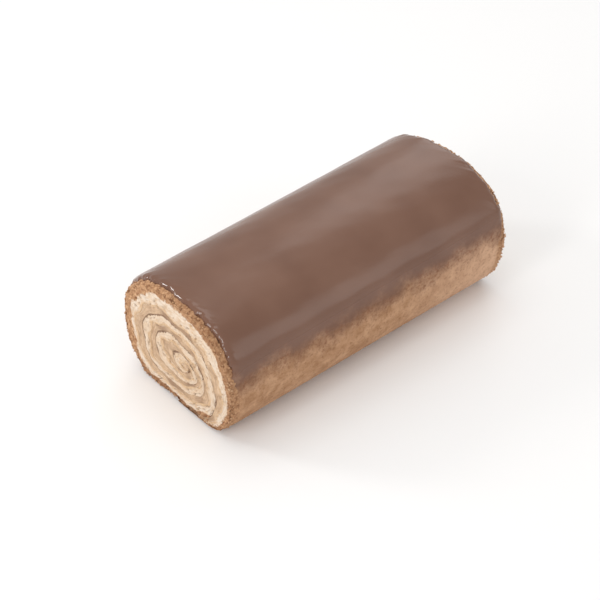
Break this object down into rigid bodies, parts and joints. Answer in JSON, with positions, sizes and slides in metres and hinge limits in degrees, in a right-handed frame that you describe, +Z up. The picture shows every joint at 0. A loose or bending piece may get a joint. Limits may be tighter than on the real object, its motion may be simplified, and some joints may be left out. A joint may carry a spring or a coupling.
{
  "type": "swiss roll cake",
  "caption": "Whole swiss roll: pale sponge wound with mocha cream, browned crust, milk chocolate glaze over the top and half the sides.",
  "frame": {"origin": "centre of the bounding box's bottom face, on the surface that the roll rests on", "axes": "+X along the roll from its narrower end to its wider end, +Z up"},
  "size_m": [0.182, 0.0902, 0.0716],
  "materials": {
    "sponge": "soft dry crumb, pale inside with a golden brown crust",
    "filling": "smooth soft tan cream",
    "glaze": "set milk chocolate glaze, satin, thinning to a soft lower edge"
  },
  "bodies": {
    "root": {"sponge": "sponge", "filling": "filling", "glaze": "glaze"}
  },
  "joints": []
}
